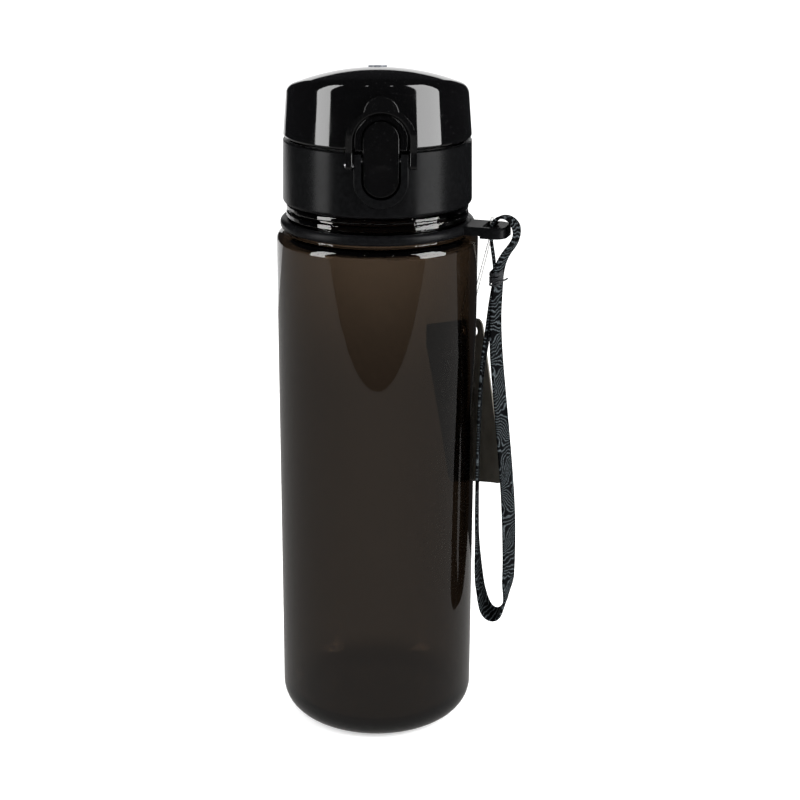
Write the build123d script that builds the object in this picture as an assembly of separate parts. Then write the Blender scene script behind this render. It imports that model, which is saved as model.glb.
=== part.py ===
"""A smoked plastic drinking bottle with a flip-top lid, a push-button latch, a lock bail and a wrist strap.

Millimetres, +Z up. The origin is the centre of the flat base. The button faces -Y and the lid's hinge is at +Y.
"""

from build123d import *
import os
from math import cos, hypot, radians, sin, tan

os.makedirs("parts", exist_ok=True)

# ---------------------------------------------------------------- driving dimensions
BODY_R = 33.0  # the bottle's side
WALL = 2.2
BASE_THICK = 4.2
CORNER_R = 9.2  # the round between base and side
SHOULDER_Z = 171.6  # the flat that the strap ring turns on
GROOVE_R = 29.0  # the groove that holds the strap ring
BEAD_R = 29.7  # the two beads above the groove
LEDGE_Z = 181.0
NECK_R = 24.0
MOUTH_R = 21.8
BORE_LOW = 174.4  # the neck is thick down to here
RIM_Z = 194.5

THREAD_PITCH = 5.0
THREAD_RISE = 1.3  # radial height of each thread ridge
THREAD_FOOT = 2.1
THREAD_CREST = 1.0
THREAD_TURNS = 1.6

RING_LOW, RING_HIGH = 172.8, 176.0
RING_R = 31.7

LUG_TURN = -20.0  # the lug points this many degrees round from +X
LUG_REACH = 44.2
LUG_WIDTH = 12.6
LUG_LOW, LUG_HIGH = 173.1, 175.8
LIP_DROP = 0.8  # the lip under the lug's end
SLOT_MID_R, SLOT_DEEP, SLOT_LONG = 38.3, 3.8, 9.0

COLLAR_LOW, COLLAR_HIGH = 181.3, 201.6
COLLAR_R_LOW, COLLAR_R_HIGH = 30.8, 30.4
COLLAR_IN = 28.5
SLEEVE_IN, SLEEVE_OUT, SLEEVE_LOW = 25.55, 26.9, 181.6
DECK_LOW, DECK_HIGH = 196.4, 198.2

LID_LOW = 202.4
LID_R_LOW, LID_TAPER = 30.4, 0.083  # the side leans in by the taper for each millimetre of height
LID_WALL = 1.8
LID_EDGE_R = 3.6
LID_TILT = 9.8  # the top falls towards the hinge
CROWN_HALF, CROWN_RISE, CROWN_FOOT = 27.0, 5.0, 219.1
PAD_RISE, PAD_HALF_X, PAD_HALF_Y = 0.5, 3.0, 4.0

PILL_HALF, PILL_LOW_MID = 8.6, 193.2  # the raised oval on the collar
PILL_FRONT = -31.6
ARCH_HALF, ARCH_MID = 8.1, 205.6  # the raised arch on the lid
ARCH_FRONT = -31.2
POCKET_HALF, POCKET_TOP_MID = 6.1, 206.0
POCKET_LOW_MID = 193.5
POCKET_BACK_LOW, POCKET_BACK_HIGH, POCKET_BACK_LID = -28.0, -26.7, -26.0

BUTTON_HALF, BUTTON_FRONT = 5.7, -31.0
BUTTON_PIN_Y, BUTTON_PIN_Z, BUTTON_PIN_R = -28.8, 199.4, 0.8

BAIL_OUT, BAIL_IN = 10.9, 8.8
BAIL_PIN_Y, BAIL_PIN_Z, BAIL_PIN_R = -30.7, 198.2, 0.75

HINGE_Y, HINGE_Z, HINGE_PIN_R, KNUCKLE_R = 32.2, 200.0, 1.0, 2.5

SPOUT_Y, SPOUT_BORE_R, SPOUT_TOP = -2.0, 4.6, 212.0

TAPE_WIDE, TAPE_THICK = 8.0, 1.0
TACK_OUT, TACK_Z, TACK_TALL = 40.45, 158.7, 4.4  # the bar tack: its place out along the lug and up

# The strap's route in the lug's upright plane: (distance from the bottle's axis, height).
STRAP_ROUTE = [
    (38.2, 173.2), (38.6, 169.5), (39.5, 164.5), (39.9, 160.5), (39.6, 155.0),
    (38.8, 148.0), (37.9, 139.0), (36.4, 128.0), (35.7, 112.0), (35.4, 80.0),
    (36.2, 56.0), (38.0, 44.5), (40.2, 39.2), (44.2, 38.8), (46.6, 44.5),
    (47.3, 55.0), (46.8, 76.0), (44.9, 97.0), (43.2, 112.0), (41.8, 125.0),
    (40.8, 135.0), (40.5, 145.0), (40.8, 154.0), (41.1, 160.5), (42.6, 165.5),
    (46.6, 171.0), (47.0, 175.6), (43.8, 178.9), (39.6, 178.0), (38.1, 173.9),
]


# ---------------------------------------------------------------- helpers
def outline(points):
    """A closed outline from (x, y) corners; a third value rounds that corner."""
    face = make_face(Polyline(*[p[:2] for p in points], close=True))
    for x, y, size in [p for p in points if len(p) == 3]:
        corner = min(face.vertices(), key=lambda v: (v.X - x) ** 2 + (v.Y - y) ** 2)
        face = fillet(corner, size)
    return face


def turned(points):
    """A solid of revolution about Z from (radius, height) corners."""
    return revolve(Plane.XZ * outline(points), Axis.Z, 360)


def side_plate(points, x_low, x_high):
    """A prism along X from (y, z) corners."""
    return Pos(x_low, 0, 0) * extrude(Plane.YZ * outline(points), x_high - x_low)


def front_plate(face, y_front, y_back):
    """A prism along Y from an outline drawn in (x, z)."""
    return Pos(0, y_back, 0) * extrude(Plane.XZ * face, y_back - y_front)


def rod(radius, low, high):
    """A round bar between two points."""
    start = Vector(*low)
    run = Vector(*high) - start
    return extrude(Plane(start, z_dir=run) * Circle(radius), run.length)


def bar_x(radius, y, z, x_low, x_high):
    return rod(radius, (x_low, y, z), (x_high, y, z))


def disc(radius, low, high, x=0, y=0):
    return rod(radius, (x, y, low), (x, y, high))


def stadium(half, low_mid, high_mid):
    """An upright outline with round ends, centred on x = 0."""
    middle = (low_mid + high_mid) / 2
    shape = Pos(0, middle) * Rectangle(2 * half, high_mid - low_mid)
    shape += Pos(0, low_mid) * Circle(half)
    shape += Pos(0, high_mid) * Circle(half)
    return shape


def arch(half, low, mid):
    """An upright outline with a flat foot and a round top."""
    top = mid + half
    shape = Pos(0, (low + mid) / 2) * Rectangle(2 * half, mid - low)
    shape += Pos(0, mid) * Circle(half)
    return shape & Pos(0, (low + top) / 2) * Rectangle(2 * half, top - low)


def arch_down(half, high, mid):
    """An upright outline with a flat top and a round foot."""
    shape = Pos(0, (high + mid) / 2) * Rectangle(2 * half, high - mid)
    return shape + Pos(0, mid) * Circle(half)


def thread(root_r, rise, low, turns):
    """A helical ridge; a negative rise points towards the axis. Its root sinks a little into the wall."""
    sink = -0.25 if rise > 0 else 0.25
    half_foot, half_crest = THREAD_FOOT / 2, THREAD_CREST / 2
    section = make_face(Polyline(
        (root_r + sink, -half_foot),
        (root_r + rise, -half_crest),
        (root_r + rise, half_crest),
        (root_r + sink, half_foot),
        close=True,
    ))
    path = Helix(THREAD_PITCH, THREAD_PITCH * turns, root_r)
    ridge = sweep(Plane.XZ * section, path=path, is_frenet=True)
    return Pos(0, 0, low) * ridge


def coil(radius, wire_r, pitch, turns):
    """A helical spring along +Z from the origin."""
    path = Helix(pitch, pitch * turns, radius)
    return sweep(Plane(path @ 0, z_dir=path % 0) * Circle(wire_r), path=path, is_frenet=True)


def front_edges(shape, y):
    """The edges of a plate's front face."""
    return [e for e in shape.edges() if abs(e.center().Y - y) < 0.01]


def lug_frame(distance, across=0.0, height=0.0):
    """A point given along the lug, across it and up."""
    turn = radians(LUG_TURN)
    return (
        distance * cos(turn) - across * sin(turn),
        distance * sin(turn) + across * cos(turn),
        height,
    )


def keep(name, shape):
    solids = shape.solids()
    whole = solids[0] if len(solids) == 1 else Compound(children=list(solids))
    export_step(whole, f"parts/{name}.step")


# ---------------------------------------------------------------- bottle
def bottle_body():
    inner = BODY_R - WALL
    shell = turned([
        (0, 0),
        (BODY_R, 0, CORNER_R),
        (BODY_R, SHOULDER_Z, 2.8),
        (GROOVE_R, SHOULDER_Z, 0.3),
        (GROOVE_R, 176.4),
        (BEAD_R, 176.7, 0.5),
        (BEAD_R, 178.4, 0.5),
        (GROOVE_R - 0.3, 178.7),
        (GROOVE_R - 0.3, 179.1),
        (BEAD_R, 179.4, 0.5),
        (BEAD_R, LEDGE_Z, 0.5),
        (NECK_R, LEDGE_Z, 0.5),
        (NECK_R, RIM_Z, 0.6),
        (MOUTH_R, RIM_Z, 0.6),
        (MOUTH_R, BORE_LOW, 1.5),
        (GROOVE_R - WALL - 0.3, BORE_LOW, 1.5),
        (GROOVE_R - WALL - 0.3, SHOULDER_Z - WALL, 1.5),
        (inner, SHOULDER_Z - WALL, 1.4),
        (inner, BASE_THICK, CORNER_R - WALL),
        (0, BASE_THICK),
    ])
    return shell + thread(NECK_R, THREAD_RISE, 184.6, THREAD_TURNS)


# ---------------------------------------------------------------- strap ring, strap and tag
def strap_ring():
    ring = turned([
        (GROOVE_R + 0.3, RING_LOW, 0.4),
        (RING_R, RING_LOW, 1.2),
        (RING_R, RING_HIGH, 1.5),
        (GROOVE_R + 0.3, RING_HIGH, 0.4),
    ])
    start = GROOVE_R - 2
    tongue = Pos((start + LUG_REACH) / 2, 0) * Rectangle(LUG_REACH - start, LUG_WIDTH)
    tongue = fillet(tongue.vertices().group_by(Axis.X)[-1], 4.0)
    lip = Pos(LUG_REACH - 4, 0) * Rectangle(8, LUG_WIDTH)
    lip = fillet(lip.vertices().group_by(Axis.X)[-1], 4.0)
    lug = Pos(0, 0, LUG_LOW) * extrude(tongue, LUG_HIGH - LUG_LOW)
    lug = chamfer([e for e in lug.edges().group_by(Axis.Z)[-1] if e.center().X > start + 1], 0.6)
    lug += Pos(0, 0, LUG_LOW - LIP_DROP) * extrude(lip, LIP_DROP + 0.1)
    slot = Pos(SLOT_MID_R, 0) * RectangleRounded(SLOT_DEEP, SLOT_LONG, 1.2)
    lug -= Pos(0, 0, RING_LOW - 3) * extrude(slot, 12)
    lug -= disc(GROOVE_R + 1.6, RING_LOW - 3, RING_HIGH + 3)
    return ring + Rot(0, 0, LUG_TURN) * lug


def route_radii(points):
    """The largest smooth arc at each inner corner of a route."""
    radii = []
    for before, here, after in zip(points, points[1:], points[2:]):
        first, second = Vector(*here) - Vector(*before), Vector(*after) - Vector(*here)
        half_turn = radians(first.get_angle(second)) / 2
        radii.append(0.45 * min(first.length, second.length) / tan(half_turn))
    return radii


def strap_path():
    points = [(r, z, 0) for r, z in STRAP_ROUTE]
    radii = route_radii(points)
    print("strap arc radii:", [round(r, 1) for r in radii])
    return FilletPolyline(*points, radius=radii)


def wrist_strap():
    path = strap_path()
    section = Plane(path @ 0, x_dir=(0, 0, 1), z_dir=path % 0) * Rectangle(TAPE_WIDE, TAPE_THICK)
    band = sweep(section, path=path)
    expected = path.length * TAPE_WIDE * TAPE_THICK
    print("strap length", round(path.length, 1), "volume", round(band.volume), "expected", round(expected))
    return Rot(0, 0, LUG_TURN) * Rot(90, 0, 0) * band


def strap_stitching():
    """A bar tack: thread wrapped round both layers of the tape where they are sewn together."""
    outer = Box(4.3, TAPE_WIDE + 1.2, TACK_TALL)
    inner = Box(3.5, TAPE_WIDE + 0.4, TACK_TALL + 1)
    return Rot(0, 0, LUG_TURN) * Pos(TACK_OUT, 0, TACK_Z) * (outer - inner)


TAG_THICK = 0.5
TAG_WIDE, TAG_TALL, TAG_LEAN = 30.0, 57.0, 16.0
TAG_BEND = [(18.5, 30.2), (34.3, 11.0), (43.1, -5.4)]  # the curl that it lies on, seen from above
TAG_TURN = -2.0
TAG_SHARE, TAG_MID_Z = 0.47, 107.3  # its middle: the share of the curl, and the height
TAG_HOLE = (10.0, 24.5)  # from its middle, along its own edges
TAG_HOLE_R = 1.7
LOOP_R = 0.2
LOOP_GAP = 0.9  # from the card's middle to the loop's


def tag_frame(along=0.0, up=0.0):
    """The plane that touches the curl at a place given along the card's own edges from its middle."""
    lean = radians(TAG_LEAN)
    bend = ThreePointArc(*TAG_BEND)
    share = TAG_SHARE + (along * cos(lean) - up * sin(lean)) / bend.length
    height = TAG_MID_Z + along * sin(lean) + up * cos(lean)
    spot = bend @ share
    out = (spot - bend.arc_center).normalized()
    return Plane(spot + Vector(0, 0, height), x_dir=bend % share, z_dir=-out)


def swing_tag():
    """A thin card, hanging askew and gently curled round the bottle's side."""
    bend = ThreePointArc(*TAG_BEND)
    middle = bend.arc_center

    def shifted(by):
        return [p + (p - middle).normalized() * by for p in (bend @ 0, bend @ 0.5, bend @ 1)]

    far, near = shifted(TAG_THICK / 2), shifted(-TAG_THICK / 2)
    face = make_face([
        ThreePointArc(*far), ThreePointArc(*near), Line(far[0], near[0]), Line(far[2], near[2])
    ])
    band = Pos(0, 0, TAG_MID_Z - TAG_TALL) * extrude(face, 2 * TAG_TALL)
    shape = Rot(0, 0, TAG_LEAN) * RectangleRounded(TAG_WIDE, TAG_TALL, 3.0)
    card = band & tag_frame() * Pos(0, 0, -12) * extrude(shape, 24)
    hole = tag_frame(*TAG_HOLE) * Pos(0, 0, -3) * extrude(Circle(TAG_HOLE_R), 6)
    return Rot(0, 0, TAG_TURN) * (card - hole)


def tag_loop():
    """The thin nylon loop that hangs the tag on the lug, through the strap's slot."""
    at, low, high = 37.2, LUG_LOW - LIP_DROP - LOOP_R - 0.3, RING_HIGH + 0.9
    inside, outside = SLOT_LONG / 2 - 0.55, LUG_WIDTH / 2 + 0.65
    turned_tag = Rot(0, 0, TAG_TURN)

    def beside_tag(by, higher):
        along, up = TAG_HOLE
        return (turned_tag * tag_frame(along, up + higher) * Pos(0, 0, -by)).position

    points = [
        lug_frame(at, outside, RING_HIGH - 1.9),
        lug_frame(at, outside, high),
        lug_frame(at, inside, high),
        lug_frame(at, inside, low),
        beside_tag(-LOOP_GAP, 5.6),
        beside_tag(-LOOP_GAP, 0),
        beside_tag(LOOP_GAP, 0),
        beside_tag(LOOP_GAP, 6.4),
        lug_frame(at, outside, low),
        lug_frame(at, outside, RING_HIGH - 2.1),
    ]
    path = FilletPolyline(*points, radius=0.45)
    return sweep(Plane(path @ 0, z_dir=path % 0) * Circle(LOOP_R), path=path)


# ---------------------------------------------------------------- screw cap
def cap_collar():
    skirt = turned([
        (COLLAR_IN, COLLAR_LOW, 0.3),
        (COLLAR_R_LOW, COLLAR_LOW, 1.2),
        (COLLAR_R_HIGH, COLLAR_HIGH, 0.4),
        (COLLAR_IN, COLLAR_HIGH, 0.3),
    ])
    pill_face = arch_down(PILL_HALF, COLLAR_HIGH, PILL_LOW_MID)
    boss = front_plate(pill_face, PILL_FRONT, POCKET_BACK_LOW + 0.95)
    rim = [e for e in front_edges(boss, PILL_FRONT) if e.center().Z < COLLAR_HIGH - 0.5]
    boss = fillet(rim, 0.7)
    upper = Pos(0, 0, (DECK_LOW + COLLAR_HIGH) / 2) * Box(
        2 * PILL_HALF, 3.0, COLLAR_HIGH - DECK_LOW, align=(Align.CENTER, Align.MIN, Align.CENTER)
    )
    boss += Pos(0, POCKET_BACK_HIGH + 1.0 - 3.0, 0) * upper
    lower_cut = front_plate(arch_down(POCKET_HALF, 205, POCKET_LOW_MID), -40, POCKET_BACK_LOW)
    upper_cut = Pos(0, -40, DECK_LOW + 0.6) * Box(
        2 * POCKET_HALF, 40 + POCKET_BACK_HIGH, 20, align=(Align.CENTER, Align.MIN, Align.MIN)
    )
    collar = skirt + boss - lower_cut - upper_cut
    collar -= bar_x(BUTTON_PIN_R + 0.01, BUTTON_PIN_Y, BUTTON_PIN_Z, -7.8, 7.8)
    for side in (-1, 1):
        collar -= bar_x(BAIL_PIN_R + 0.01, BAIL_PIN_Y, BAIL_PIN_Z, *sorted((side * 7.2, side * 9.4)))
    collar -= bar_x(KNUCKLE_R + 0.35, HINGE_Y, HINGE_Z, -8.5, 8.5)
    ear = [
        (28.9, 193.0),
        (HINGE_Y + 1.2, 197.2),
        (HINGE_Y + KNUCKLE_R * 0.9, 199.0),
        (HINGE_Y, HINGE_Z),
        (28.4, 200.8),
    ]
    for low, high in ((-12.4, -8.6), (8.6, 12.4)):
        piece = side_plate(ear, low, high) + bar_x(KNUCKLE_R, HINGE_Y, HINGE_Z, low, high)
        piece -= disc(28.5, 190, 204)
        collar += piece
    return collar - bar_x(HINGE_PIN_R + 0.01, HINGE_Y, HINGE_Z, -13, 13)


def cap_insert():
    """The threaded sleeve and deck that carry the cap on the neck."""
    body = turned([
        (SLEEVE_IN, SLEEVE_LOW, 0.3),
        (SLEEVE_OUT, SLEEVE_LOW, 0.3),
        (SLEEVE_OUT, DECK_LOW),
        (COLLAR_IN - 0.05, DECK_LOW),
        (COLLAR_IN - 0.05, DECK_HIGH, 0.3),
        (0, DECK_HIGH),
        (0, DECK_LOW),
        (SLEEVE_IN, DECK_LOW),
    ])
    body += thread(SLEEVE_IN, -THREAD_RISE + 0.05, 184.6 - THREAD_PITCH / 2, THREAD_TURNS)
    body -= Pos(0, -24 - 20 - 1.6, DECK_LOW) * Box(2 * PILL_HALF + 0.2, 40, 10)
    body -= disc(7.55, DECK_LOW - 1, DECK_HIGH + 1, y=SPOUT_Y)
    body -= disc(1.85, DECK_LOW - 1, DECK_HIGH + 1, x=10, y=11)
    return body


def neck_gasket():
    return turned([
        (MOUTH_R + 0.2, RIM_Z + 0.1, 0.2),
        (SLEEVE_IN - 0.25, RIM_Z + 0.1, 0.2),
        (SLEEVE_IN - 0.25, DECK_LOW - 0.1, 0.2),
        (MOUTH_R + 0.2, DECK_LOW - 0.1, 0.2),
    ])


def drinking_spout():
    spout = turned([
        (SPOUT_BORE_R, DECK_LOW - 1.2, 0.3),
        (7.5, DECK_LOW - 1.2, 0.8),
        (7.5, DECK_HIGH + 0.02),
        (10.2, DECK_HIGH + 0.02, 0.3),
        (10.2, DECK_HIGH + 1.4, 0.5),
        (7.6, DECK_HIGH + 1.8, 1.2),
        (6.8, SPOUT_TOP, 1.0),
        (SPOUT_BORE_R, SPOUT_TOP, 0.7),
    ])
    return Pos(0, SPOUT_Y, 0) * spout


def vent_valve():
    """A silicone grommet with a slit dome that lets air into the bottle."""
    valve = turned([
        (0, DECK_LOW - 1.2),
        (1.2, DECK_LOW - 1.2),
        (2.6, DECK_LOW - 0.4, 0.2),
        (2.6, DECK_LOW - 0.05, 0.1),
        (1.8, DECK_LOW - 0.05),
        (1.8, DECK_HIGH + 0.05),
        (3.2, DECK_HIGH + 0.05, 0.2),
        (3.2, DECK_HIGH + 0.9, 0.3),
        (0, DECK_HIGH + 1.2),
    ])
    bore = disc(0.6, DECK_LOW - 0.6, DECK_HIGH + 3)
    return Pos(10, 11, 0) * (valve - bore)


# ---------------------------------------------------------------- lid
def dome(shrink):
    """The lid's outer form, shrunk by a wall thickness for its hollow: a cone cut by a tilted crown."""
    low = LID_LOW if shrink <= 0 else LID_LOW - 1
    high = CROWN_FOOT + 10
    radii = [LID_R_LOW - shrink - LID_TAPER * (z - LID_LOW) for z in (low, high)]
    side = turned([(0, low), (radii[0], low), (radii[1], high), (0, high)])
    crown_r = (CROWN_HALF ** 2 + CROWN_RISE ** 2) / (2 * CROWN_RISE)
    upright = Vector(0, sin(radians(LID_TILT)), cos(radians(LID_TILT)))
    middle = Vector(0, 0, CROWN_FOOT) + upright * (CROWN_RISE - crown_r)
    form = side & Pos(*middle) * Rot(0, 90, 0) * Sphere(crown_r - shrink)
    top_edge = [e for e in form.edges() if e.center().Z > LID_LOW + 5 and e.length > CROWN_HALF]
    form = fillet(top_edge, LID_EDGE_R - 0.6 * max(shrink, 0))
    return fillet(form.edges().group_by(Axis.Z)[0], 0.9) if shrink == 0 else form


def lid_shell():
    lid = dome(0)
    boss_face = arch(ARCH_HALF, LID_LOW, ARCH_MID)
    boss = front_plate(boss_face, ARCH_FRONT, -27.0)
    lid += fillet(front_edges(boss, ARCH_FRONT), 0.6)
    hollow = dome(LID_WALL)
    backing = front_plate(arch(ARCH_HALF, LID_LOW - 2, ARCH_MID), -40, POCKET_BACK_LID + 1.6)
    lid -= hollow - backing
    lid -= front_plate(arch(POCKET_HALF, LID_LOW - 5, POCKET_TOP_MID), -40, POCKET_BACK_LID)
    lid += front_plate(Pos(0, 207.3) * Rectangle(6, 1.4), POCKET_BACK_LID - 0.7, POCKET_BACK_LID + 0.3)
    web = [
        (28.6, 204.2),
        (28.6, 209.5),
        (30.2, 208.6),
        (HINGE_Y + 2.0, 203.6),
        (HINGE_Y + KNUCKLE_R, HINGE_Z),
        (HINGE_Y, HINGE_Z - 0.6),
        (HINGE_Y - 1.6, 202.6),
    ]
    for low, high in ((-8.3, -4.4), (4.4, 8.3)):
        piece = side_plate(web, low, high) + bar_x(KNUCKLE_R, HINGE_Y, HINGE_Z, low, high)
        lid += piece - hollow
    return lid - bar_x(HINGE_PIN_R + 0.05, HINGE_Y, HINGE_Z, -13, 13)


def lid_badge():
    """The plain oval pad on the lid's top."""
    post = Pos(0, 0, CROWN_FOOT + 2) * extrude(Ellipse(PAD_HALF_X, PAD_HALF_Y), 8)
    return (post & dome(-PAD_RISE)) - dome(0)


def lid_liner():
    """The inner plate of the lid, which holds the seal, on four posts."""
    plate = disc(19.5, 215.2, 216.6, y=SPOUT_Y)
    plate += Pos(0, SPOUT_Y, 0) * (disc(10.6, 213.0, 215.2) - disc(9.1, 212.9, 215.2))
    for turn in (45, 135, 225, 315):
        x, y = 14 * cos(radians(turn)), 14 * sin(radians(turn))
        plate += disc(1.8, 216.6, CROWN_FOOT + 6, x=x, y=y + SPOUT_Y)
    return plate & dome(LID_WALL + 0.03)


def lid_seal():
    """The silicone pad that closes the spout."""
    seal = turned([
        (0, SPOUT_TOP - 1.2),
        (3.0, SPOUT_TOP - 1.2, 0.2),
        (4.1, SPOUT_TOP + 0.1),
        (9.0, SPOUT_TOP + 0.1, 0.5),
        (9.0, 215.1, 0.2),
        (0, 215.1),
    ])
    return Pos(0, SPOUT_Y, 0) * seal


def hinge_pin():
    return bar_x(HINGE_PIN_R, HINGE_Y, HINGE_Z, -12.6, 12.6)


def lid_spring():
    """A torsion spring on the hinge pin, with one leg on the collar and one on the lid."""
    radius, wire, turns, pitch = 1.6, 0.28, 8, 0.8
    length = pitch * turns
    wound = coil(radius, wire, pitch, turns)
    wound += rod(wire - 0.01, (radius, 0.1, 0), (radius, -6.5, 0))
    wound += rod(wire - 0.01, (radius, -0.1, length), (radius, 5.5, length))
    return Plane((-length / 2, HINGE_Y, HINGE_Z), x_dir=(0, -1, 0), z_dir=(1, 0, 0)) * wound


# ---------------------------------------------------------------- button and its pieces
def push_button():
    face = stadium(BUTTON_HALF, POCKET_LOW_MID + 0.1, POCKET_TOP_MID)
    button = front_plate(face, BUTTON_FRONT, BUTTON_FRONT + 1.5)
    button = fillet(front_edges(button, BUTTON_FRONT), 0.6)
    head = front_plate(arch(BUTTON_HALF, 198.2, POCKET_TOP_MID), BUTTON_FRONT + 1.0, -27.6)
    button += head
    button += front_plate(Pos(0, 209.7) * Rectangle(5, 1.4), -28.0, -27.0)
    button += bar_x(1.7, BUTTON_PIN_Y, BUTTON_PIN_Z, -BUTTON_HALF, BUTTON_HALF)
    thumb = Pos(0, BUTTON_FRONT - 26.0, 193.8) * Sphere(26.35)
    button -= thumb & front_plate(stadium(4.1, 192.6, 195.4), -40, -28)
    button -= bar_x(BUTTON_PIN_R + 0.05, BUTTON_PIN_Y, BUTTON_PIN_Z, -9, 9)
    return button


def button_pin():
    return bar_x(BUTTON_PIN_R, BUTTON_PIN_Y, BUTTON_PIN_Z, -7.7, 7.7)


def button_spring():
    wire = 0.2
    length = (BUTTON_FRONT + 1.5) - POCKET_BACK_LOW
    turns = 3
    wound = coil(1.6, wire, (-length - 2 * wire - 0.1) / turns, turns)
    return Pos(0, POCKET_BACK_LOW - wire - 0.05, 191.0) * Rot(90, 0, 0) * wound


# ---------------------------------------------------------------- lock bail
def lock_bail():
    outer = arch(BAIL_OUT, BAIL_PIN_Z - 1.4, 205.2)
    tab = Pos(0, 213.9) * Circle(5.5)
    inner = arch(BAIL_IN, BAIL_PIN_Z - 5, ARCH_MID)
    face = outer + tab - inner
    blank = front_plate(face, -36, -28)
    profile = [
        (BAIL_PIN_Y + 1.4, BAIL_PIN_Z - 1.4, 1.3),
        (-29.6, 204.5, 3.0),
        (ARCH_FRONT - 0.35, 209.8, 1.5),
        (ARCH_FRONT - 0.35, 215.0, 1.5),
        (-30.7, 219.8),
        (-32.2, 219.8),
        (-33.5, 214.0, 4.0),
        (-33.2, 208.0, 4.0),
        (-32.1, 202.0, 4.0),
        (BAIL_PIN_Y - 1.4, BAIL_PIN_Z - 1.4, 1.3),
    ]
    bail = blank & side_plate(profile, -12, 12)

    def on_front_rim(edge):
        spot = edge @ 0.5
        reach = hypot(spot.X, max(spot.Z - ARCH_MID, 0))
        return spot.Y < -31.75 and (abs(reach - BAIL_IN) < 0.05 or spot.Z > 219)

    bail = fillet([e for e in bail.edges() if on_front_rim(e)], 0.45)
    return bail - bar_x(BAIL_PIN_R + 0.06, BAIL_PIN_Y, BAIL_PIN_Z, -12, 12)


def bail_pins():
    pins = [
        bar_x(BAIL_PIN_R, BAIL_PIN_Y, BAIL_PIN_Z, *sorted((side * 7.3, side * (BAIL_OUT + 0.3))))
        for side in (-1, 1)
    ]
    rims = [e for pin in pins for e in pin.edges() if abs(abs(e.center().X) - BAIL_OUT - 0.3) < 0.01]
    return fillet(rims, 0.4)


NODES = {
    "bottle_body": bottle_body,
    "strap_ring": strap_ring,
    "wrist_strap": wrist_strap,
    "strap_stitching": strap_stitching,
    "swing_tag": swing_tag,
    "tag_loop": tag_loop,
    "cap_collar": cap_collar,
    "cap_insert": cap_insert,
    "neck_gasket": neck_gasket,
    "drinking_spout": drinking_spout,
    "vent_valve": vent_valve,
    "lid_shell": lid_shell,
    "lid_badge": lid_badge,
    "lid_liner": lid_liner,
    "lid_seal": lid_seal,
    "hinge_pin": hinge_pin,
    "lid_spring": lid_spring,
    "push_button": push_button,
    "button_pin": button_pin,
    "button_spring": button_spring,
    "lock_bail": lock_bail,
    "bail_pins": bail_pins,
}

for node, build in NODES.items():
    keep(node, build())
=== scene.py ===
"""Looks for the smoked drinking bottle: materials, the woven strap, its stitching and a studio.

Metres, +Z up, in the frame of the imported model. The button faces -Y and the strap hangs at +X,
turned a little towards the button.
"""

import math

import bpy
from mathutils import Matrix, Vector


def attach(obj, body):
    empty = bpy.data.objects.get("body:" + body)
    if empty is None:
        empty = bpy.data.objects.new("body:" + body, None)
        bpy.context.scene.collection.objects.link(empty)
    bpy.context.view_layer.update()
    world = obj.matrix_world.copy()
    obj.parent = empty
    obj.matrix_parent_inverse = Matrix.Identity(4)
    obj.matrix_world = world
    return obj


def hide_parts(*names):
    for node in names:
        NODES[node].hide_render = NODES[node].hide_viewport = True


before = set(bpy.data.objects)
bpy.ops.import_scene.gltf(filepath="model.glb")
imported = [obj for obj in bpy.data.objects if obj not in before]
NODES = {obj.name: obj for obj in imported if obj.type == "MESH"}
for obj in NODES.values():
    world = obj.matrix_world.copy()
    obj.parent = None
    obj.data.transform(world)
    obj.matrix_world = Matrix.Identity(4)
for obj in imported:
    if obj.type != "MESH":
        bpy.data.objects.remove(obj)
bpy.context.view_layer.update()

MM = 0.001

# ---------------------------------------------------------------- the strap's facts
LUG_TURN = math.radians(-20.0)  # the strap hangs in the upright plane at this turn from +X
TAPE_WIDE = 0.008
TAPE_THICK = 0.0009
TAPE_STEP = 0.0003  # between the sections of the modelled tape
SELVEDGE_BAND = 0.0004  # how far in from its edge the tape follows the selvedge's wave
SELVEDGE_WAVE = 0.00006
SELVEDGE_PITCH = 0.0012
TACK_OUT, TACK_Z = 0.04045, 0.1587  # where the tape's two layers are sewn together
TACK_TURNS = 10
TACK_PITCH = 0.00043
TACK_TILT = 0.00035
TACK_THREAD = 0.00022  # radius
LOOSE_THREAD = 0.0003  # radius

# (distance from the bottle's axis, height), the control points of the strap's line
STRAP_ROUTE = [
    (0.0382, 0.1732), (0.0386, 0.1695), (0.0395, 0.1645), (0.0399, 0.1605), (0.0396, 0.1550),
    (0.0388, 0.1480), (0.0379, 0.1390), (0.0364, 0.1280), (0.0357, 0.1120), (0.0354, 0.0800),
    (0.0362, 0.0560), (0.0380, 0.0445), (0.0402, 0.0392), (0.0442, 0.0388), (0.0466, 0.0445),
    (0.0473, 0.0550), (0.0468, 0.0760), (0.0449, 0.0970), (0.0432, 0.1120), (0.0418, 0.1250),
    (0.0408, 0.1350), (0.0405, 0.1450), (0.0408, 0.1540), (0.0411, 0.1605), (0.0426, 0.1655),
    (0.0466, 0.1710), (0.0470, 0.1756), (0.0438, 0.1789), (0.0396, 0.1780), (0.0381, 0.1739),
]

# The tape's turn about its own line, in degrees, at shares of its length
STRAP_TURNS = [
    (0.00, -14), (0.035, -13), (0.08, -4), (0.13, -3), (0.19, -9), (0.25, -11), (0.36, -10),
    (0.43, 2), (0.47, 12), (0.50, 4), (0.53, -14), (0.60, -17), (0.72, -15), (0.80, -13),
    (0.86, -9), (0.93, -9), (0.955, 0), (0.975, 8), (1.00, -6),
]


# ---------------------------------------------------------------- small helpers
def from_lug(distance, across, height):
    """A point given along the lug, across it and up."""
    along = Vector((math.cos(LUG_TURN), math.sin(LUG_TURN), 0))
    side = Vector((-math.sin(LUG_TURN), math.cos(LUG_TURN), 0))
    return along * distance + side * across + Vector((0, 0, height))


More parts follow.
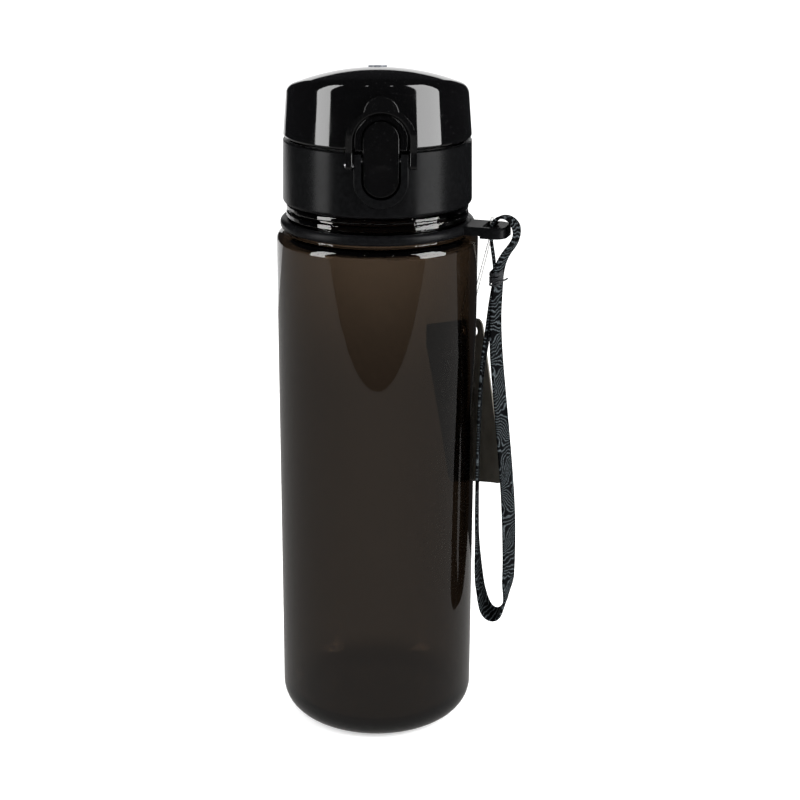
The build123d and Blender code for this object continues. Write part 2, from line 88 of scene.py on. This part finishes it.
def between(table, x):
    """A smooth value between the rows of a small table of (x, value)."""
    for (x0, a), (x1, b) in zip(table, table[1:]):
        if x <= x1:
            t = max(0.0, (x - x0) / (x1 - x0))
            t = t * t * (3 - 2 * t)
            return a + (b - a) * t
    return table[-1][1]


def add_piece(name, verts, faces, material, smooth=True):
    """A new mesh object in the scene, with one material."""
    mesh = bpy.data.meshes.new(name)
    mesh.from_pydata([tuple(v) for v in verts], [], faces)
    mesh.validate()
    mesh.materials.append(material)
    mesh.polygons.foreach_set("use_smooth", [smooth] * len(mesh.polygons))
    piece = bpy.data.objects.new(name, mesh)
    bpy.context.scene.collection.objects.link(piece)
    return piece


def spline_points(points):
    """Points along a smooth line that starts and ends on the outer ones of these control points."""
    curve = bpy.data.curves.new("line", "CURVE")
    curve.dimensions = "3D"
    spline = curve.splines.new("NURBS")
    spline.points.add(len(points) - 1)
    for slot, point in zip(spline.points, points):
        slot.co = (*point, 1.0)
    spline.order_u = 3
    spline.use_endpoint_u = True
    spline.resolution_u = 24
    holder = bpy.data.objects.new("line", curve)
    mesh = bpy.data.meshes.new_from_object(holder)
    line = [v.co.copy() for v in mesh.vertices]
    bpy.data.meshes.remove(mesh)
    bpy.data.objects.remove(holder)
    bpy.data.curves.remove(curve)
    return line


def evenly(line, step):
    """The line again, with points one step apart."""
    along = [0.0]
    for a, b in zip(line, line[1:]):
        along.append(along[-1] + (b - a).length)
    count = max(2, round(along[-1] / step))
    result, k = [], 0
    for i in range(count + 1):
        at = along[-1] * i / count
        while k < len(line) - 2 and along[k + 1] < at:
            k += 1
        span = along[k + 1] - along[k]
        result.append(line[k].lerp(line[k + 1], (at - along[k]) / span if span else 0.0))
    return result


def tangents(line):
    """The line's direction at each of its points."""
    last = len(line) - 1
    return [(line[min(i + 1, last)] - line[max(i - 1, 0)]).normalized() for i in range(last + 1)]


def round_tube(line, radius, closed=False):
    """Vertices and faces of an eight-sided tube along a line, capped unless it is a closed ring."""
    sides = 8
    verts, faces = [], []
    directions = tangents(line)
    normal = directions[0].orthogonal().normalized()
    for point, along in zip(line, directions):
        normal = (normal - along * normal.dot(along)).normalized()
        side = along.cross(normal)
        for k in range(sides):
            turn = 2 * math.pi * k / sides
            verts.append(point + (normal * math.cos(turn) + side * math.sin(turn)) * radius)
    rings = len(line)
    for i in range(rings if closed else rings - 1):
        a, b = i * sides, ((i + 1) % rings) * sides
        for k in range(sides):
            faces.append((a + k, a + (k + 1) % sides, b + (k + 1) % sides, b + k))
    if not closed:
        faces.append(tuple(reversed(range(sides))))
        faces.append(tuple(range((rings - 1) * sides, rings * sides)))
    return verts, faces


# ---------------------------------------------------------------- materials
def colour_socket(sockets, name):
    """A mix node's colour socket: it has sockets of this name for other types too."""
    return [s for s in sockets if s.name == name and s.type == "RGBA"][0]


def set_range(node, low, high, to_low, to_high):
    names = ("From Min", "From Max", "To Min", "To Max")
    for name, value in zip(names, (low, high, to_low, to_high)):
        node.inputs[name].default_value = value


class Shader:
    """A node tree with one principled shader, and short calls for the nodes round it."""

    def __init__(self, name, colour, roughness, **sockets):
        self.material = bpy.data.materials.new(name)
        self.material.use_nodes = True
        self.tree = self.material.node_tree
        self.shader = self.tree.nodes["Principled BSDF"]
        self.shader.inputs["Base Color"].default_value = (*colour, 1.0)
        self.shader.inputs["Roughness"].default_value = roughness
        for socket, value in sockets.items():
            self.shader.inputs[socket.replace("_", " ")].default_value = value

    def node(self, kind, **values):
        made = self.tree.nodes.new(kind)
        for name, value in values.items():
            setattr(made, name, value)
        return made

    def link(self, source, target):
        self.tree.links.new(source, target)

    def place(self):
        return self.node("ShaderNodeTexCoord").outputs["Object"]

    def noise(self, scale, detail=2.0, source=None, dims="3D", rough=0.5):
        made = self.node("ShaderNodeTexNoise", noise_dimensions=dims)
        made.inputs["Scale"].default_value = scale
        made.inputs["Detail"].default_value = detail
        made.inputs["Roughness"].default_value = rough
        if dims == "1D":
            self.link(source, made.inputs["W"])
        else:
            self.link(source or self.place(), made.inputs["Vector"])
        return made.outputs["Fac"]

    def ranged(self, source, low, high, to_low, to_high):
        made = self.node("ShaderNodeMapRange", interpolation_type="SMOOTHSTEP")
        set_range(made, low, high, to_low, to_high)
        self.link(source, made.inputs["Value"])
        return made.outputs["Result"]

    def math(self, operation, a, b=0.0, c=0.0):
        made = self.node("ShaderNodeMath", operation=operation)
        for socket, value in zip(made.inputs, (a, b, c)):
            if isinstance(value, (int, float)):
                socket.default_value = value
            else:
                self.link(value, socket)
        return made.outputs["Value"]

    def mix(self, factor, a, b):
        made = self.node("ShaderNodeMix", data_type="RGBA")
        self.link(factor, made.inputs["Factor"])
        for name, value in (("A", a), ("B", b)):
            socket = colour_socket(made.inputs, name)
            if isinstance(value, tuple):
                socket.default_value = (*value, 1.0)
            else:
                self.link(value, socket)
        return colour_socket(made.outputs, "Result")

    def colour(self, source):
        self.link(source, self.shader.inputs["Base Color"])

    def roughness(self, source):
        self.link(source, self.shader.inputs["Roughness"])

    def bump(self, source, distance, strength=1.0):
        made = self.node("ShaderNodeBump")
        made.inputs["Distance"].default_value = distance
        made.inputs["Strength"].default_value = strength
        self.link(source, made.inputs["Height"])
        self.link(made.outputs["Normal"], self.shader.inputs["Normal"])


def smoked_plastic():
    """Clear plastic, tinted dark brown-grey through its thickness, with faint flow marks."""
    s = Shader("smoked_plastic", (1.0, 0.97, 0.94), 0.02, IOR=1.5, Transmission_Weight=1.0)
    s.roughness(s.ranged(s.noise(120, 2), 0.45, 0.8, 0.012, 0.035))
    s.bump(s.noise(30, 1), 0.00002, 0.6)
    absorb = s.node("ShaderNodeVolumeAbsorption")
    absorb.inputs["Color"].default_value = (0.42, 0.36, 0.29, 1.0)
    absorb.inputs["Density"].default_value = 1150.0
    output = [n for n in s.tree.nodes if n.type == "OUTPUT_MATERIAL"][0]
    s.link(absorb.outputs["Volume"], output.inputs["Volume"])
    return s.material


def gloss_plastic(name, colour, rough=(0.03, 0.09), shine=0.5):
    """Polished black plastic: small roughness changes, faint orange peel and a little dust."""
    s = Shader(name, colour, 0.05, IOR=1.5, Specular_IOR_Level=shine)
    place = s.place()
    dust = s.ranged(s.noise(2600, 1, place), 0.74, 0.80, 0.0, 1.0)
    s.colour(s.mix(dust, colour, (0.03, 0.03, 0.03)))
    unevenness = s.ranged(s.noise(90, 5, place), 0.3, 0.75, rough[0], rough[1])
    s.roughness(s.math("MULTIPLY_ADD", dust, 0.35, unevenness))
    s.bump(s.noise(160, 2, place), 0.00002)
    return s.material


def satin_plastic(name, colour, rough, shine=0.14):
    """Spark-eroded black plastic: a fine even grain, a little polished where it is handled."""
    s = Shader(name, colour, 0.36, IOR=1.48, Specular_IOR_Level=shine)
    place = s.place()
    tone = s.ranged(s.noise(700, 3, place), 0.3, 0.7, 0.0, 1.0)
    s.colour(s.mix(tone, tuple(0.8 * c for c in colour), tuple(1.3 * c for c in colour)))
    s.roughness(s.ranged(s.noise(60, 4, place), 0.3, 0.7, rough[0], rough[1]))
    s.bump(s.noise(3600, 2, place), 0.00001, 0.4)
    return s.material


def silicone():
    """Matt silicone, a little uneven in tone and polish."""
    s = Shader("seal_silicone", (0.55, 0.55, 0.53), 0.55, Subsurface_Weight=0.2)
    s.shader.inputs["Subsurface Radius"].default_value = (0.002, 0.002, 0.002)
    place = s.place()
    tone = s.ranged(s.noise(300, 4, place), 0.3, 0.7, 0.0, 1.0)
    s.colour(s.mix(tone, (0.50, 0.50, 0.48), (0.62, 0.62, 0.60)))
    s.roughness(s.ranged(s.noise(900, 3, place), 0.3, 0.7, 0.45, 0.65))
    s.bump(s.noise(1500, 3, place), 0.00003, 0.5)
    return s.material


def steel():
    """Bright drawn steel with small changes of polish."""
    s = Shader("pin_steel", (0.62, 0.62, 0.64), 0.25, Metallic=1.0)
    place = s.place()
    s.colour(s.mix(s.noise(900, 3, place), (0.50, 0.50, 0.52), (0.72, 0.72, 0.74)))
    s.roughness(s.ranged(s.noise(2200, 3, place), 0.3, 0.7, 0.16, 0.34))
    s.bump(s.noise(3000, 2, place), 0.00001, 0.5)
    return s.material


def nylon():
    """Thin, half-clear nylon line."""
    s = Shader("tag_nylon", (0.80, 0.80, 0.78), 0.3, IOR=1.53, Transmission_Weight=0.6)
    s.roughness(s.ranged(s.noise(1500, 3), 0.3, 0.7, 0.22, 0.4))
    s.bump(s.noise(900, 3), 0.00002, 0.5)
    return s.material


def card():
    """Uncoated grey-brown card with paper fibre and slightly darker, rubbed patches."""
    s = Shader("tag_card", (0.08, 0.075, 0.06), 0.8, Specular_IOR_Level=0.2)
    place = s.place()
    cloud = s.ranged(s.noise(70, 5, place, rough=0.6), 0.3, 0.7, 0.0, 1.0)
    fibre = s.ranged(s.noise(2400, 4, place, rough=0.7), 0.35, 0.7, 0.0, 1.0)
    tone = s.math("MULTIPLY_ADD", fibre, 0.4, s.math("MULTIPLY", cloud, 0.6))
    s.colour(s.mix(tone, (0.065, 0.060, 0.048), (0.115, 0.108, 0.092)))
    s.roughness(s.ranged(fibre, 0.0, 1.0, 0.65, 0.85))
    s.bump(fibre, 0.00003, 0.6)
    return s.material


def woven_tape():
    """Black tape with a woven pale pattern of wavy bars, like a fingerprint.

    Its map is in millimetres, across and along the tape, and so are the pitches here.
    """
    bar_pitch, yarn_pitch, pick_pitch = 1.5, 0.42, 0.36
    s = Shader("strap_tape", (0.006, 0.007, 0.009), 0.7, Specular_IOR_Level=0.03)
    flat = s.node("ShaderNodeUVMap", uv_map="tape")
    parts = s.node("ShaderNodeSeparateXYZ")
    s.link(flat.outputs["UV"], parts.inputs["Vector"])
    across, along = parts.outputs["X"], parts.outputs["Y"]
    lean = s.math("SUBTRACT", s.noise(0.075, 1, along, "1D"), 0.5)
    slope = s.math("MULTIPLY", s.math("MULTIPLY", lean, across), 4.2)
    drift = s.math("SUBTRACT", s.noise(0.22, 1, flat.outputs["UV"]), 0.5)
    wander = s.math("MULTIPLY", drift, 3.4)
    phase = s.math("ADD", s.math("ADD", along, slope), wander)
    wave = s.math("SINE", s.math("MULTIPLY", phase, 2 * math.pi / bar_pitch))
    bars = s.ranged(wave, 0.3, 0.85, 0.0, 1.0)
    yarn = s.math("SINE", s.math("MULTIPLY", across, 2 * math.pi / yarn_pitch))
    pick = s.math("SINE", s.math("MULTIPLY", along, 2 * math.pi / pick_pitch))
    weave = s.math("MULTIPLY", yarn, pick)
    broken = s.ranged(s.noise(1.6, 3, flat.outputs["UV"]), 0.36, 0.58, 0.25, 1.0)
    # Random breaks in the pale bars, times painted shade: the bars are painted dimmer where the
    # weave dips into its hollows
    unevenness = s.math("MULTIPLY", broken, s.ranged(weave, -1.0, 0.6, 0.55, 1.0))
    light = s.math("MULTIPLY", bars, unevenness)
    # Painted shade: the black ground is painted darker in the weave's hollows and lighter on its
    # raised crossings, following the same weave as the bump
    painted_weave_shade = s.ranged(weave, -1.0, 1.0, 0.0, 1.0)
    ground = s.mix(painted_weave_shade, (0.0004, 0.0005, 0.0007), (0.0015, 0.0018, 0.0023))
    s.colour(s.mix(light, ground, (0.070, 0.082, 0.088)))
    s.roughness(s.ranged(weave, -1.0, 1.0, 0.6, 0.85))
    s.bump(s.math("MULTIPLY_ADD", bars, 0.5, weave), 0.00006, 0.8)
    return s.material


def thread():
    """Dark twisted sewing thread."""
    s = Shader(
        "strap_thread", (0.012, 0.012, 0.015), 0.6, Sheen_Weight=0.08, Specular_IOR_Level=0.25
    )
    place = s.place()
    twist = s.ranged(s.noise(2600, 2, place), 0.35, 0.65, 0.0, 1.0)
    s.colour(s.mix(twist, (0.003, 0.0035, 0.0045), (0.012, 0.013, 0.016)))
    s.roughness(s.ranged(twist, 0.0, 1.0, 0.5, 0.75))
    s.bump(twist, 0.00005, 0.7)
    return s.material


SMOKED = smoked_plastic()
LID = gloss_plastic("lid_plastic", (0.0012, 0.0012, 0.0013))
BADGE = gloss_plastic("badge_plastic", (0.22, 0.23, 0.25), (0.15, 0.25))
BUTTON = gloss_plastic("button_plastic", (0.0015, 0.0015, 0.0016), (0.12, 0.22), 0.35)
BAIL = gloss_plastic("bail_plastic", (0.0015, 0.0015, 0.0016), (0.12, 0.22), 0.35)
SPOUT = gloss_plastic("spout_plastic", (0.010, 0.010, 0.011), (0.08, 0.16))
RING = satin_plastic("ring_plastic", (0.003, 0.0031, 0.0034), (0.25, 0.34), 0.07)
COLLAR = satin_plastic("collar_plastic", (0.0025, 0.0026, 0.0028), (0.20, 0.26), 0.065)
INSERT = satin_plastic("insert_plastic", (0.006, 0.006, 0.0065), (0.30, 0.45))
SILICONE = silicone()
STEEL = steel()
NYLON = nylon()
CARD = card()
TAPE = woven_tape()
THREAD = thread()

FINISHES = {
    "bottle_body": SMOKED,
    "strap_ring": RING,
    "swing_tag": CARD,
    "tag_loop": NYLON,
    "cap_collar": COLLAR,
    "cap_insert": INSERT,
    "neck_gasket": SILICONE,
    "drinking_spout": SPOUT,
    "vent_valve": SILICONE,
    "lid_shell": LID,
    "lid_badge": BADGE,
    "lid_liner": INSERT,
    "lid_seal": SILICONE,
    "hinge_pin": STEEL,
    "lid_spring": STEEL,
    "push_button": BUTTON,
    "button_pin": STEEL,
    "button_spring": STEEL,
    "lock_bail": BAIL,
    "bail_pins": STEEL,
}
for node, finish in FINISHES.items():
    for slot in NODES[node].material_slots:
        slot.material = finish


# ---------------------------------------------------------------- the strap
def tape_section():
    """(across, up) round the tape: two faces of fine ribs, and two rounded selvedges."""
    half, thick = TAPE_WIDE / 2, TAPE_THICK / 2
    columns, margin, groove = 16, 0.0003, 0.00004
    face = []
    for k in range(columns):
        across = (2 * k / (columns - 1) - 1) * (half - margin)
        face.append((across, thick - (groove if k % 2 else 0.0)))
    round_in, round_up = half - 0.00008, thick * 0.55
    upper = face + [(round_in, round_up), (half, 0.0), (round_in, -round_up)]
    return upper + [(-across, -up) for across, up in upper]


def strap():
    """The tape along its route, with its map in millimetres, and the line that it follows."""
    line = evenly(spline_points([from_lug(r, 0, z) for r, z in STRAP_ROUTE]), TAPE_STEP)
    ring = tape_section()
    verts, faces, flat = [], [], []
    side = from_lug(0, 1, 0)
    count = len(line)
    for i, (point, along) in enumerate(zip(line, tangents(line))):
        up = along.cross(side)
        turn = math.radians(between(STRAP_TURNS, i / (count - 1)))
        wide = side * math.cos(turn) + up * math.sin(turn)
        out = along.cross(wide)
        selvedge = SELVEDGE_WAVE * math.sin(2 * math.pi * i * TAPE_STEP / SELVEDGE_PITCH)
        for a, u in ring:
            near_edge = abs(a) > TAPE_WIDE / 2 - SELVEDGE_BAND
            reach = a + math.copysign(selvedge, a) if near_edge else a
            verts.append(point + wide * reach + out * u)
            flat.append((a / MM, i * TAPE_STEP / MM))
    n = len(ring)
    for i in range(count - 1):
        a, b = i * n, (i + 1) * n
        for k in range(n):
            faces.append((a + k, a + (k + 1) % n, b + (k + 1) % n, b + k))
    faces.append(tuple(reversed(range(n))))
    faces.append(tuple(range((count - 1) * n, count * n)))
    piece = add_piece("wrist_strap_tape", verts, faces, TAPE)
    layer = piece.data.uv_layers.new(name="tape")
    for loop in piece.data.loops:
        layer.data[loop.index].uv = flat[loop.vertex_index]
    return piece, line


def bar_tack():
    """Thread wound round both layers of the tape where they are sewn together."""
    verts, faces = [], []
    half_deep, half_wide, steps = 0.00155, 0.0043, 40
    for k in range(TACK_TURNS):
        height = TACK_Z + (k - (TACK_TURNS - 1) / 2) * TACK_PITCH
        tilt = TACK_TILT * math.sin(2.4 * k)
        loop = []
        for i in range(steps):
            turn = 2 * math.pi * i / steps
            c, s = math.cos(turn), math.sin(turn)
            deep = half_deep * math.copysign(abs(c) ** 0.5, c)
            wide = half_wide * math.copysign(abs(s) ** 0.5, s)
            loop.append(from_lug(TACK_OUT + deep, wide, height + tilt * s))
        v, f = round_tube(loop, TACK_THREAD, closed=True)
        faces += [tuple(len(verts) + x for x in face) for face in f]
        verts += v
    return add_piece("strap_bar_tack", verts, faces, THREAD)


def loose_thread():
    """The thread's free end, which sticks out beside the bar tack."""
    points = [
        from_lug(0.0412, -0.0040, TACK_Z),
        from_lug(0.0426, -0.0040, TACK_Z - 0.0002),
        from_lug(0.0440, -0.0034, TACK_Z - 0.0001),
        from_lug(0.0450, -0.0030, TACK_Z + 0.0006),
    ]
    line = evenly(spline_points(points), 0.0002)
    verts, faces = round_tube(line, LOOSE_THREAD)
    return add_piece("strap_loose_thread", verts, faces, THREAD)


tape, tape_line = strap()
tack = bar_tack()
loose_end = loose_thread()
for piece, slot in ((tape, "strap_tape"), (tack, "strap_thread"), (loose_end, "strap_thread")):
    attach(piece, "ring")
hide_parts("wrist_strap")
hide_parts("strap_stitching")


# ---------------------------------------------------------------- studio
# The camera and everything on the stage stand this far round the bottle's axis
VIEW_TURN = Matrix.Rotation(math.radians(-2.0), 4, "Z")
RAY_KINDS = ("camera", "diffuse", "glossy", "transmission", "volume_scatter", "shadow")

STAGE_REACH = 5.0
TABLE_NEAR = -0.42  # the table's edge on the camera's side
TABLE_FAR = 0.52
TABLE_FAR_RIGHT = 0.12  # to the right of TABLE_SPLIT it ends sooner
TABLE_SPLIT = 0.06
TABLE_SIDE = 0.75
TABLE_RADIANCE = 0.36
PAPER_RADIANCE = 1.15
WALL_SIDE, WALL_AWAY, WALL_HEIGHT = 0.6, 2.0, 0.62
FADE_NEAR, FADE_FAR = 0.34, 0.74  # where the table fades to paper behind the bottle

LAMP_DISTANCE = 0.72
LAMP_RADIANCE = 9.0
# (azimuth, width, height, height of the middle): two tall windows and two small lamps above them
LAMPS = [
    (-69, 0.25, 1.0, 0.515),
    (64.5, 0.43, 1.0, 0.515),
    (-17, 0.06, 0.10, 0.95),
    (22, 0.06, 0.10, 0.95),
]


def glowing(name, colour, strength):
    """A material that only gives off light."""
    material = bpy.data.materials.new(name)
    material.use_nodes = True
    tree = material.node_tree
    tree.nodes.clear()
    light = tree.nodes.new("ShaderNodeEmission")
    light.inputs["Color"].default_value = (*colour, 1.0)
    light.inputs["Strength"].default_value = strength
    output = tree.nodes.new("ShaderNodeOutputMaterial")
    tree.links.new(light.outputs["Emission"], output.inputs["Surface"])
    return material


def stage_card(name, corners, material, **seen_by):
    """A flat card, seen only by the kinds of ray that are named."""
    made = add_piece(name, corners, [(0, 1, 2, 3)], material, False)
    made.matrix_world = VIEW_TURN
    for kind in RAY_KINDS:
        setattr(made, f"visible_{kind}", seen_by.get(kind, False))


def slab(name, left, near, right, far, material, **seen_by):
    """A level card at the height of the bottle's base."""
    corners = [(left, near, 0), (right, near, 0), (right, far, 0), (left, far, 0)]
    stage_card(name, corners, material, **seen_by)


def floor():
    """White paper, which the camera and the scattered light see."""
    paper = Shader("floor_paper", (0.92, 0.92, 0.92), 0.9)
    paper.roughness(paper.ranged(paper.noise(40, 4), 0.3, 0.7, 0.85, 0.95))
    paper.shader.inputs["Emission Color"].default_value = (1, 1, 1, 1)
    paper.shader.inputs["Emission Strength"].default_value = 0.35
    reach = (-STAGE_REACH, -STAGE_REACH, STAGE_REACH, STAGE_REACH)
    slab("floor", *reach, paper.material, camera=True, diffuse=True, volume_scatter=True)


def reflected_table():
    """What the gloss shows below the lights: a dim table, brighter paper past it and a low wall."""
    table = glowing("table_glow", (1.0, 0.98, 0.96), TABLE_RADIANCE)
    left = (-TABLE_SIDE, TABLE_NEAR, TABLE_SPLIT, TABLE_FAR)
    right = (TABLE_SPLIT, TABLE_NEAR, TABLE_SIDE, TABLE_FAR_RIGHT)
    slab("table_reflected", *left, table, glossy=True)
    slab("table_reflected_right", *right, table, glossy=True)
    paper = glowing("paper_glow", (1.0, 1.0, 1.0), PAPER_RADIANCE)
    past = (-TABLE_SIDE, TABLE_FAR, TABLE_SPLIT, STAGE_REACH)
    slab("far_paper_reflected", *past, paper, glossy=True)
    wall = [
        (-WALL_SIDE, WALL_AWAY, 0),
        (WALL_SIDE, WALL_AWAY, 0),
        (WALL_SIDE, WALL_AWAY, WALL_HEIGHT),
        (-WALL_SIDE, WALL_AWAY, WALL_HEIGHT),
    ]
    stage_card("wall_reflected", wall, paper, glossy=True)


def table_through_bottle():
    """What is seen through the clear plastic: the table, which fades to bright paper far off."""
    glow = glowing("through_glow", (1.0, 0.99, 0.98), PAPER_RADIANCE)
    tree = glow.node_tree
    place = tree.nodes.new("ShaderNodeTexCoord")
    parts = tree.nodes.new("ShaderNodeSeparateXYZ")
    fade = tree.nodes.new("ShaderNodeMapRange")
    fade.interpolation_type = "SMOOTHSTEP"
    set_range(fade, FADE_NEAR, FADE_FAR, TABLE_RADIANCE, PAPER_RADIANCE)
    tree.links.new(place.outputs["Object"], parts.inputs["Vector"])
    tree.links.new(parts.outputs["Y"], fade.inputs["Value"])
    tree.links.new(fade.outputs["Result"], tree.nodes["Emission"].inputs["Strength"])
    reach = (-STAGE_REACH, TABLE_NEAR, STAGE_REACH, STAGE_REACH)
    slab("table_behind", *reach, glow, transmission=True)


def softbox(azimuth, wide, tall, middle):
    """An upright window of light that faces the bottle's axis. The azimuth runs from -Y to +X."""
    light = bpy.data.lights.new("softbox", "AREA")
    light.shape = "RECTANGLE"
    light.size, light.size_y = wide, tall
    light.energy = LAMP_RADIANCE * math.pi * wide * tall
    lamp = bpy.data.objects.new("softbox", light)
    lamp.visible_camera = False
    turn = math.radians(azimuth)
    place = Vector((math.sin(turn) * LAMP_DISTANCE, -math.cos(turn) * LAMP_DISTANCE, middle))
    aim = Vector((0, 0, middle)) - place
    face = Matrix.Translation(place) @ aim.to_track_quat("-Z", "Y").to_matrix().to_4x4()
    lamp.matrix_world = VIEW_TURN @ face
    bpy.context.scene.collection.objects.link(lamp)


def surroundings():
    """A white room, but nearly black where the gloss reflects it."""
    world = bpy.data.worlds.new("studio")
    world.use_nodes = True
    bpy.context.scene.world = world
    tree = world.node_tree
    ray = tree.nodes.new("ShaderNodeLightPath")
    mirror = tree.nodes.new("ShaderNodeMath")
    mirror.operation = "SUBTRACT"
    mirror.use_clamp = True
    tree.links.new(ray.outputs["Is Glossy Ray"], mirror.inputs[0])
    tree.links.new(ray.outputs["Is Transmission Ray"], mirror.inputs[1])
    tone = tree.nodes.new("ShaderNodeMix")
    tone.data_type = "RGBA"
    tree.links.new(mirror.outputs["Value"], tone.inputs["Factor"])
    colour_socket(tone.inputs, "A").default_value = (0.95, 0.95, 0.96, 1)
    colour_socket(tone.inputs, "B").default_value = (0.02, 0.02, 0.022, 1)
    result = colour_socket(tone.outputs, "Result")
    tree.links.new(result, tree.nodes["Background"].inputs["Color"])


def camera():
    """The photographer's view: a long lens, a little above the lid, looking slightly down."""
    lens = 75.94
    pitch, turn, roll = 0.3201, 0.0142, 0.0055  # radians
    place = Vector((0, -0.5425, 0.2924))
    level = Vector((math.sin(turn), math.cos(turn), 0))
    ahead = level * math.cos(pitch) - Vector((0, 0, math.sin(pitch)))
    right = Vector((math.cos(turn), -math.sin(turn), 0))
    up = right.cross(ahead)
    rolled_right = right * math.cos(roll) + up * math.sin(roll)
    rolled_up = up * math.cos(roll) - right * math.sin(roll)
    data = bpy.data.cameras.new("camera")
    data.lens = lens
    data.sensor_width = 36.0
    view = bpy.data.objects.new("camera", data)
    bpy.context.scene.collection.objects.link(view)
    axes = Matrix((rolled_right, rolled_up, -ahead)).transposed()
    view.matrix_world = VIEW_TURN @ Matrix.Translation(place) @ axes.to_4x4()
    data.clip_start, data.clip_end = 0.01, 20.0
    bpy.context.scene.camera = view


floor()
reflected_table()
table_through_bottle()
for lamp_place in LAMPS:
    softbox(*lamp_place)
surroundings()
camera()
bpy.context.scene.view_settings.view_transform = "Standard"

bpy.context.view_layer.update()
